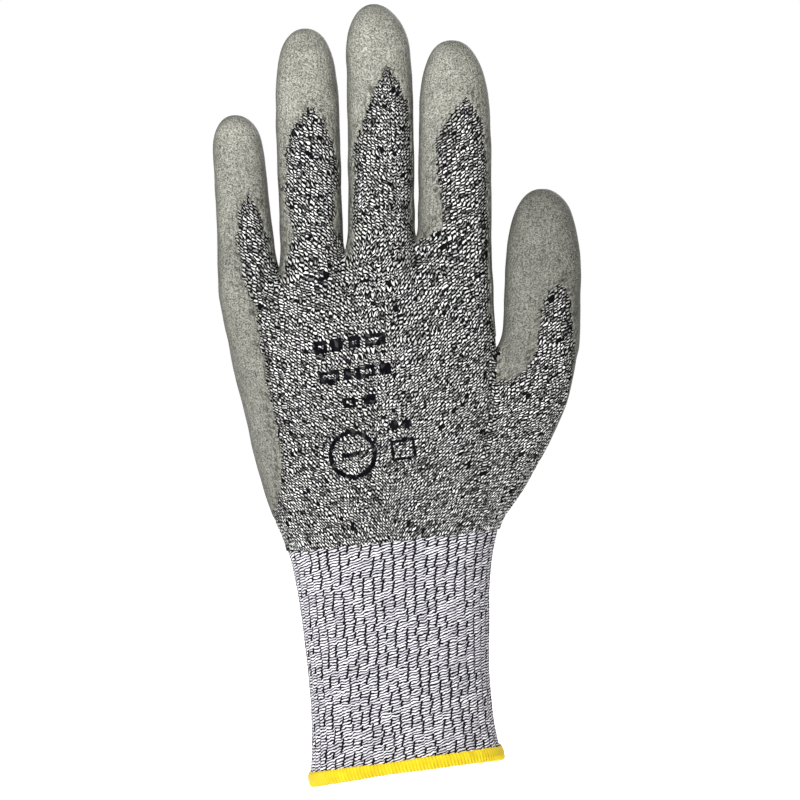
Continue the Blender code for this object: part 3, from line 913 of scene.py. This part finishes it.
def stroke_cells(n):
    """Splits the knit into slanted strokes, one to a stitch: their numbers, and places within them."""
    wale, course = n.layer("knit")
    column, across = n.whole(wale), n.part(wale)
    sway = n.noise(75.0, 2.0, 0.6)
    turn = n.scaled(sway, 0.070, n.plus(n.split(n.coordinate("Object"))[0], -0.035))
    split = n.scaled(n.rest(n.step(turn, -0.013, 0.009)), 0.76, 0.12)
    left = n.math("DIVIDE", across, split)
    right = n.math("DIVIDE", n.rest(across), n.rest(split))
    lean = n.scaled(n.math("MINIMUM", left, right), STROKE_RISE, course)
    on_left = n.math("LESS_THAN", across, split)
    width = n.plus(n.times(on_left, split), n.times(n.rest(on_left), n.rest(split)))
    return Cell(column, across, n.whole(lean), n.part(lean), n.step(width, 0.15, 0.5), on_left)


def knit_material():
    n = Nodes("knit_jersey")
    cell = stroke_cells(n)
    one = n.white(cell.column, cell.row, 1.0)
    tone = n.white(cell.column, cell.row, n.plus(cell.on_left, 4.0))
    light = n.ramp(tone, (0.0, (0.10, 0.10, 0.098)), (0.28, (0.56, 0.56, 0.54)), (1.0, (0.95, 0.95, 0.93)))
    soaked = n.times(n.rest(n.step(n.layer("depth")[0], -0.5, 3.4)), 0.72)
    light = n.mix(soaked, light, (0.20, 0.20, 0.175))
    yarn = n.mix(n.step(one, 0.975, 0.990), light, (0.006, 0.006, 0.007))
    place = n.vector(n.plus(cell.column, cell.across), n.plus(cell.row, cell.within))
    start = n.scaled(n.noise(1.7, 2.0, 0.6, place), 2.9, -0.735)
    # painted shadow: each stroke darkens to near black at its ends and sides, which paints the shadow in the
    # gaps between strokes
    edge = n.math("MAXIMUM", 0.0, n.times(n.minus(n.arch(cell.within), start), 4.5))
    edge = n.math("SMOOTH_MIN", 1.0, edge, 0.1)
    side = n.step(n.arch(cell.across), 0.10, 0.62)
    yarn_cover_and_shadow = n.times(edge, n.scaled(side, 0.85, 0.15))
    # painted shade: the narrow leg of each stitch, which lies under the wide one, is darker
    yarn_cover_and_shadow = n.times(yarn_cover_and_shadow, n.scaled(cell.shown, 0.6, 0.4))
    fuzz = n.noise(2600.0, 3.0, 0.6)
    colour = n.mix(yarn_cover_and_shadow, (0.004, 0.004, 0.005), yarn)
    colour = n.dimmed(0.3, colour, fuzz, 0.3, (0.5, 0.5, 0.5), 0.7)
    height = n.scaled(yarn_cover_and_shadow, 0.8, n.times(fuzz, 0.2))
    return n.finish(colour, n.scaled(fuzz, 0.15, 0.82), height, 0.22, 0.8, gloss=0.0)


def rib_material():
    """Strokes across each rib, and short dark lines between ribs that step aside as the ribs twist."""
    n = Nodes("knit_rib")
    wale, course = n.layer("knit")
    turn = n.math("DIVIDE", wale, 4.0)
    border = n.whole(n.plus(turn, 0.5))
    start = n.white(border, 3.0, 0.0)
    along = n.scaled(start, 9.0, n.math("DIVIDE", course, 2.1))
    run = n.whole(along)
    slanted = n.times(n.minus(n.part(along), 0.5), 0.16)
    shift = n.plus(n.times(n.minus(n.white(border, run, 1.0), 0.5), 0.34), slanted)
    offset = n.math("ABSOLUTE", n.minus(n.minus(n.part(n.plus(turn, 0.5)), 0.5), shift))
    line = n.times(n.rest(n.step(offset, 0.06, 0.14)), n.step(n.white(border, run, 2.0), 0.16, 0.20))
    wander = n.noise(0.5, 2.0, 0.5, n.vector(wale, course))
    level = n.minus(n.times(course, RIB_COURSES), n.times(n.part(turn), RIB_RISE))
    level = n.scaled(wander, 1.5, level)
    row = n.whole(level)
    gap = n.step(n.math("ABSOLUTE", n.minus(n.part(level), 0.5)), 0.17, 0.32)
    tone = n.white(n.whole(turn), row, 5.0)
    yarn = n.ramp(tone, (0.0, (0.50, 0.48, 0.52)), (0.5, (0.68, 0.66, 0.71)), (1.0, (0.84, 0.82, 0.86)))
    black = (0.003, 0.003, 0.004)
    shadow = n.white(n.whole(wale), row, 6.0)
    shadow = n.ramp(shadow, (0.0, (0.06, 0.057, 0.066)), (0.30, (0.03, 0.029, 0.033)), (0.45, black))
    shadow = n.mix(n.step(offset, 0.16, 0.30), black, shadow)
    colour = n.mix(line, n.mix(gap, yarn, shadow), (0.005, 0.005, 0.007))
    fuzz = n.noise(2600.0, 3.0, 0.6)
    colour = n.dimmed(0.3, colour, fuzz, 0.3, (0.6, 0.6, 0.6), 0.7)
    height = n.minus(n.times(fuzz, 0.2), n.math("MAXIMUM", line, n.times(gap, 0.6)))
    return n.finish(colour, 0.88, height, 0.2, 0.8)


def painted_coating_shade(n):
    """Painted shade on the coating: darker where it faces sideways, on the thumb and low on the hand."""
    x, _, z = n.split(n.coordinate("Object"))
    facing = n.times(n.split(n.coordinate("Normal"))[1], -1.0)
    thumb_side = n.times(n.step(x, 0.030, 0.042), 0.36)
    low = n.times(n.rest(n.step(z, 0.080, 0.150)), 0.27)
    painted_shade = n.rest(n.math("MAXIMUM", thumb_side, low))
    painted_shade = n.times(painted_shade, n.scaled(n.rest(n.step(facing, 0.15, 0.90)), -0.34, 1.0))
    return n.vector(painted_shade, painted_shade, painted_shade)


def coating_material():
    """Matt polyurethane through which the strokes show as pores and dashes, most near its edge."""
    n = Nodes("coating_pu")
    cell = stroke_cells(n)
    near = n.step(n.layer("depth")[0], -4.5, 0.2)
    body = n.times(n.arch(cell.within), n.arch(cell.across))
    pores = n.times(n.rest(n.step(body, 0.05, 0.50)), n.step(n.noise(620.0, 2.0, 0.5), 0.36, 0.60))
    stitch = n.vector(n.plus(cell.column, cell.across), n.times(n.plus(cell.row, cell.within), 2.0))
    dashes = n.rest(n.step(n.noise(1.5, 2.0, 0.6, stitch), 0.38, 0.52))
    patches = n.noise(160.0, 3.0, 0.55)
    base = n.ramp(patches, (0.3, (0.292, 0.291, 0.254)), (0.7, (0.394, 0.392, 0.345)))
    # painted shade: the coating's colour is darkened on the thumb, low on the hand and where it faces
    # sideways
    base = n.mix(1.0, base, painted_coating_shade(n), "MULTIPLY")
    amount = n.scaled(near, 0.45, n.scaled(n.white(cell.column, cell.row, 8.0), 0.40, 0.12))
    colour = n.mix(n.times(pores, n.math("MINIMUM", amount, 1.0)), base, (0.050, 0.050, 0.043))
    colour = n.mix(n.times(dashes, 0.46), colour, (0.060, 0.060, 0.052))
    dots = n.step(n.white(cell.column, cell.row, 1.0), 0.85, 0.89)
    colour = n.mix(n.times(dots, n.scaled(near, 0.65, 0.12)), colour, (0.03, 0.03, 0.027))
    grain = n.noise(1500.0, 3.0, 0.65)
    colour = n.dimmed(0.55, colour, grain, 0.34, (0.50, 0.50, 0.48), 0.60)
    colour = n.dimmed(0.85, colour, n.noise(2300.0, 1.0, 0.5), 0.34, (0.18, 0.18, 0.16), 0.56)
    height = n.minus(n.times(grain, 0.35), n.times(pores, 0.65))
    return n.finish(colour, n.scaled(grain, 0.25, 0.5), height, 0.14, 0.9, gloss=0.15)


def hem_material():
    n = Nodes("hem_thread")
    wale, course = n.layer("knit")
    body = n.arch(n.part(n.scaled(course, 0.8, wale)))
    base = n.ramp(n.noise(300.0, 2.0, 0.5), (0.3, (0.60, 0.44, 0.008)), (0.7, (0.74, 0.57, 0.014)))
    colour = n.mix(n.times(n.rest(n.step(body, 0.15, 0.7)), 0.45), base, (0.42, 0.28, 0.008))
    fuzz = n.noise(2200.0, 3.0, 0.6)
    colour = n.dimmed(0.25, colour, fuzz, 0.3, (0.6, 0.6, 0.6), 0.7)
    return n.finish(colour, 0.75, n.scaled(body, 0.8, n.times(fuzz, 0.2)), 0.2, 0.8, sheen=0.1)


def ink_material():
    n = Nodes("print_ink")
    cell = stroke_cells(n)
    pick = n.white(cell.column, cell.row, 8.0)
    dark, usual, light = (0.002, 0.002, 0.003), (0.006, 0.006, 0.008), (0.05, 0.05, 0.05)
    colour = n.ramp(pick, (0.0, dark), (0.85, usual), (1.0, light))
    fuzz = n.noise(2600.0, 3.0, 0.6)
    colour = n.dimmed(0.4, colour, fuzz, 0.3, (0.5, 0.5, 0.5), 0.7)
    return n.finish(colour, 0.9, fuzz, 0.1, 0.6, gloss=0.0)


def elastic_material():
    n = Nodes("elastic_thread")
    wave = n.node("ShaderNodeTexWave", wave_type="BANDS", bands_direction="X")
    wave.inputs["Scale"].default_value = 900.0
    wave.inputs["Distortion"].default_value = 2.0
    n.put(n.coordinate("Object"), wave.inputs["Vector"])
    colour = n.ramp(wave.outputs["Fac"], (0.2, (0.45, 0.45, 0.44)), (0.7, (0.75, 0.75, 0.73)))
    return n.finish(colour, 0.8, wave.outputs["Fac"], 0.08, 0.6)


# --- Pieces --------------------------------------------------------------------------------------


def piece(name, parts, look, depths=None):
    """One object from (points, faces, uvs, normals) parts, each with its own points."""
    all_points, all_faces, all_uvs, all_normals, start = [], [], [], [], 0
    for points, faces, uvs, normals in parts:
        used, index = np.unique(faces, return_inverse=True)
        all_points.append(points[used])
        all_normals.append(normals[used])
        all_faces.append(index.reshape(faces.shape) + start)
        all_uvs.append(uvs.reshape(-1, 2))
        start += len(used)
    points, faces = np.vstack(all_points) * MM, np.vstack(all_faces)
    mesh = raw_mesh(name, points, faces, np.vstack(all_uvs), depths=depths)
    mesh.shade_smooth()
    mesh.normals_split_custom_set_from_vertices(np.vstack(all_normals).tolist())
    mesh.materials.append(look)
    return add_object(name, mesh)


def boundary_points(faces, count):
    """Marks the points on the open edge of a set of quads."""
    a = faces.ravel()
    b = np.roll(faces, -1, axis=1).ravel()
    keys = np.minimum(a, b).astype(np.int64) * count + np.maximum(a, b)
    unique, seen = np.unique(keys, return_counts=True)
    edge = unique[seen == 1]
    marked = np.zeros(count, bool)
    marked[edge // count] = True
    marked[edge % count] = True
    return marked


def lining(coarse, mask):
    """The inside of the fabric, facing into the glove."""
    points = coarse.points - coarse.normals * LINER
    return points, coarse.faces[mask][:, ::-1], coarse.uvs[mask][:, ::-1], -coarse.normals


def fold_zone(joint, axis, half):
    """Points half a band before and after a joint's pivot, along a digit's axis."""
    pivot = np.array(JOINTS[joint]["pos_m"])
    return tuple(pivot - axis * half * MM), tuple(pivot + axis * half * MM)


def attach(obj, where):
    """where is a body, which the piece is attached to, or (parent, child, start, end) across a fold: then the
    piece only has its transform baked into its mesh, and parent, child, start and end are not used.
    """
    if isinstance(where, str):
        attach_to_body(obj, where)
    else:
        parent, child, start, end = where
        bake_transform(obj)
        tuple(start)
        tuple(end)


ACROSS_WRIST = ("hand", "cuff", (0.0, 0.0, 0.011), (0.0, 0.0, -0.013))


def glove_sections():
    """For each cut piece: tags, name, where it is attached, and the knit and coating nodes it replaces."""
    palm = ("hand", ("hand_liner",), ("palm_coating",))
    made = [((HEEL,), "heel", ACROSS_WRIST, (), ()),
            ((LOWER, "thumb_0"), "lower_hand", *palm),
            ((UPPER, *(f"{f.name}_0" for f in FINGERS)), "upper_hand", *palm)]
    for digit in DIGITS:
        three = len(digit.folds) == 3
        segments = ("proximal", "middle", "tip") if three else ("proximal", "tip")
        bands = ("root_band", "knuckle_band", "tip_band") if three else ("root_band", "tip_band")
        joints = ("base_fold", "middle_fold", "tip_fold") if three else ("base_fold", "tip_fold")
        parent = "hand"
        for number, segment in enumerate(segments):
            body = f"{digit.name}_{segment}"
            zone = fold_zone(f"{digit.name}_{joints[number]}", digit.axis, digit.half_bands[number])
            made.append(((f"{digit.name}_{number + 1}",), body, (parent, body, *zone),
                         (f"{body}_sleeve", f"{digit.name}_{bands[number]}"), (f"{body}_coating",)))
            parent = body
    return made


def tip_fade(points):
    """1 over most of the glove, and 0 at each digit's end, where the wales meet."""
    fade = np.ones(len(points))
    for digit in DIGITS:
        left = digit.length - (points - digit.root) @ digit.axis
        near = np.linalg.norm(points[:, :2] - digit.centre(digit.length)[:2], axis=1) < 14
        fade = np.where(near & (left < 6), np.clip(left / 6, 0, 1), fade)
    return fade


def finish_piece(obj, where, nodes):
    attach(obj, where)
    if nodes:
        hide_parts(*nodes)


def make_glove():
    knit_look, coating_look = knit_material(), coating_material()
    thumb_web = thumb_level_row()[TOTAL:TOTAL + ACROSS + 1]
    fine, coarse = subdivided(make_lattice(), [w.mean(axis=0) for w in (*WEBS, thumb_web)])
    middle, normal = fine.points[fine.faces].mean(axis=1), fine.normals[fine.faces].mean(axis=1)

    unique, which, place, facing = stitch_means(fine)
    jitter = hashed(unique[:, 1], unique[:, 2]) - 0.5 + 0.6 * waves(place, 9.0, 3)
    knit = knit_depth(place, facing) + RAGGED * jitter
    near_knit, coated = (knit > -KNIT_UNDERLAP)[which], (knit < 0)[which]

    strokes, at_points = drifted(fine)
    relief = jersey_relief(at_points, fine.points)
    corner_depths = np.repeat(knit_depth(middle, normal), 4)
    uneven = 0.16 * waves(fine.points, 26.0, 5) + 0.07 * waves(fine.points, 9.0, 6)
    fade = tip_fade(fine.points)
    cloth = fine.points + fine.normals * (relief * fade + uneven)[:, None]
    cloth_normals = vertex_normals(cloth, fine.faces)

    rim = boundary_points(fine.faces[coated], len(fine.points))
    lift = np.where(rim, -0.10, COAT)
    skin = fine.points + fine.normals * (0.32 * relief * fade + 0.12 + uneven + lift)[:, None]
    skin_normals = vertex_normals(skin, fine.faces)

    for tags, name, where, nodes, skins in glove_sections():
        mine = fine.tagged(*tags)
        outer = mine & near_knit
        parts = [lining(coarse, coarse.tagged(*tags))]
        depths = [np.full(4 * len(parts[0][1]), DEEP), corner_depths[np.repeat(outer, 4)]]
        if outer.any():
            parts.append((cloth, fine.faces[outer], strokes[outer], cloth_normals))
        finish_piece(piece(f"{name}_knit", parts, knit_look, np.concatenate(depths)), where, nodes)
        over = mine & coated
        if over.any():
            parts = [(skin, fine.faces[over], strokes[over], skin_normals)]
            coat = piece(f"{name}_coat", parts, coating_look, corner_depths[np.repeat(over, 4)])
            finish_piece(coat, where, skins)

    marked = printed(middle[:, 0], middle[:, 2]) & (normal[:, 1] < -0.3) & ~coated
    marked &= fine.tagged(LOWER, UPPER)
    inked = cloth + fine.normals * INK
    ink = piece("print_marks", [(inked, fine.faces[marked], strokes[marked], cloth_normals)], ink_material())
    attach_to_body(ink, "hand")
    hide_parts("size_print")


def make_cuff():
    fine, coarse = subdivided(make_cuff_lattice())
    lift = rib_relief(fine.wale, fine.course) + 0.12 * waves(fine.points, 30.0, 8)
    cloth = fine.points + fine.normals * lift[:, None]
    every = np.ones(len(coarse.faces), bool)
    outside = (cloth, fine.faces, fine.uvs, vertex_normals(cloth, fine.faces))
    rib = piece("rib_cuff", [lining(coarse, every), outside], rib_material())
    attach(rib, ACROSS_WRIST)
    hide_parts("cuff_rib", "wrist_band")


def unit(vectors):
    return vectors / np.linalg.norm(vectors, axis=1)[:, None]


def flattened(value, power):
    """A sine or cosine with its peaks broadened."""
    return math.copysign(abs(value) ** power, value)


def make_hem(loops=150, steps_per_loop=6, steps=28, slope=2.4):
    """The overlocked edge: a rolled band wrapped in slanting turns of thread."""
    count = loops * steps_per_loop
    line = cuff_row(HEM_TOP - HEM_HEIGHT / 2, count)
    rise = unit(cuff_row(HEM_TOP, count) - cuff_row(HEM_TOP - HEM_HEIGHT, count))
    outward = unit(np.cross(unit(np.roll(line, -1, axis=0) - np.roll(line, 1, axis=0)), rise))
    swell = 0.18 * waves(line, 22.0, 9)
    here = np.arange(count)
    there = (here + 1) % count
    around = here / steps_per_loop
    points, faces, uvs = [], [], []
    for k in range(steps):
        turn = k / steps
        side = flattened(math.cos(2 * math.pi * turn), 0.62)
        up = flattened(math.sin(2 * math.pi * turn), 0.75)
        ridge = 0.13 * np.cos(2 * math.pi * (around + slope * turn)) + 0.05 * np.sin(around * 1.7 + 9 * turn)
        points.append(line + outward * ((HEM_HALF_DEPTH + ridge) * side)[:, None]
                      + rise * ((HEM_HEIGHT / 2 + ridge + swell) * up)[:, None])
        low, high = k * count, (k + 1) % steps * count
        faces.append(np.column_stack([low + here, high + here, high + there, low + there]))
        v0, v1 = slope * k / steps, slope * (k + 1) / steps
        corners = ((here, v0), (here, v1), (here + 1, v1), (here + 1, v0))
        uvs.append(np.stack([np.column_stack([u / steps_per_loop, np.full(count, v)]) for u, v in corners],
                            axis=1))
    points, faces, uvs = np.vstack(points), np.vstack(faces), np.vstack(uvs)
    normals = vertex_normals(points, faces)
    if (normals[:count] * (points[:count] - line.mean(axis=0))).sum(axis=1).mean() < 0:
        faces, uvs, normals = faces[:, ::-1], uvs[:, ::-1], -normals
    hem = piece("hem_roll", [(points, faces, uvs, normals)], hem_material())
    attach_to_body(hem, "cuff")
    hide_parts("overlock_hem")


def finish_elastic():
    look = elastic_material()
    for slot in frame["nodes"]["cuff_elastic"].material_slots:
        slot.material = look


# --- Studio ---------------------------------------------------------------------------------------

LIGHTS = (  # name, place in metres, size and power
    ("key", (-0.25, -0.50, 0.38), 0.30, 5.9),
    ("fill", (0.35, -1.2, 0.10), 0.8, 3.0),
    ("back_key", (0.5, 1.1, 0.7), 0.8, 12.0),
)
LIGHT_AIM = (0.0, 0.0, 0.05)
FLOOR_REACH = 6.0
FLOOR_GAP = 0.0008
AMBIENT = 0.16
FRAME_WIDTH = 0.256
CAMERA_X, CAMERA_Z = 0.00256, 0.0422


def make_floor():
    level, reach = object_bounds()[0][2] - FLOOR_GAP, FLOOR_REACH
    mesh = bpy.data.meshes.new("floor")
    corners = [(-reach, -reach), (reach, -reach), (reach, reach), (-reach, reach)]
    mesh.from_pydata([(x, y, level) for x, y in corners], [], [(0, 1, 2, 3)])
    n = Nodes("studio_floor")
    n.shader.inputs["Emission Color"].default_value = (*WHITE, 1.0)
    n.shader.inputs["Emission Strength"].default_value = 1.0
    tone = n.noise(3.0, 1.0, 0.5)
    n.finish(n.ramp(tone, (0.3, (0.80, 0.80, 0.80)), (0.7, (0.82, 0.82, 0.82))), 0.8)
    mesh.materials.append(n.material)
    add_object("floor", mesh)


def make_world():
    """White where the camera sees it, and dim as a source of light."""
    world = bpy.data.worlds.new("studio")
    bpy.context.scene.world = world
    world.use_nodes = True
    tree = world.node_tree
    back = tree.nodes["Background"]
    back.inputs["Color"].default_value = (*WHITE, 1.0)
    path = tree.nodes.new("ShaderNodeLightPath")
    strength = tree.nodes.new("ShaderNodeMapRange")
    strength.inputs["To Min"].default_value = AMBIENT
    strength.inputs["To Max"].default_value = 1.0
    tree.links.new(path.outputs["Is Camera Ray"], strength.inputs["Value"])
    tree.links.new(strength.outputs["Result"], back.inputs["Strength"])


def make_lights():
    for name, place, size, power in LIGHTS:
        light = bpy.data.lights.new(name, "AREA")
        light.size = size
        light.energy = power
        obj = add_object(name, light)
        obj.location = place
        aim = Vector(LIGHT_AIM) - Vector(place)
        obj.rotation_euler = aim.to_track_quat("-Z", "Y").to_euler()


def make_camera():
    camera = bpy.data.cameras.new("camera")
    camera.lens = 135.0
    camera.sensor_width = 36.0
    obj = add_object("camera", camera)
    obj.location = (CAMERA_X, -FRAME_WIDTH * camera.lens / camera.sensor_width, CAMERA_Z)
    obj.rotation_euler = (math.pi / 2, 0.0, 0.0)
    bpy.context.scene.camera = obj


bpy.context.scene.view_settings.view_transform = "Standard"
make_glove()
make_cuff()
make_hem()
finish_elastic()
make_floor()
make_world()
make_lights()
make_camera()
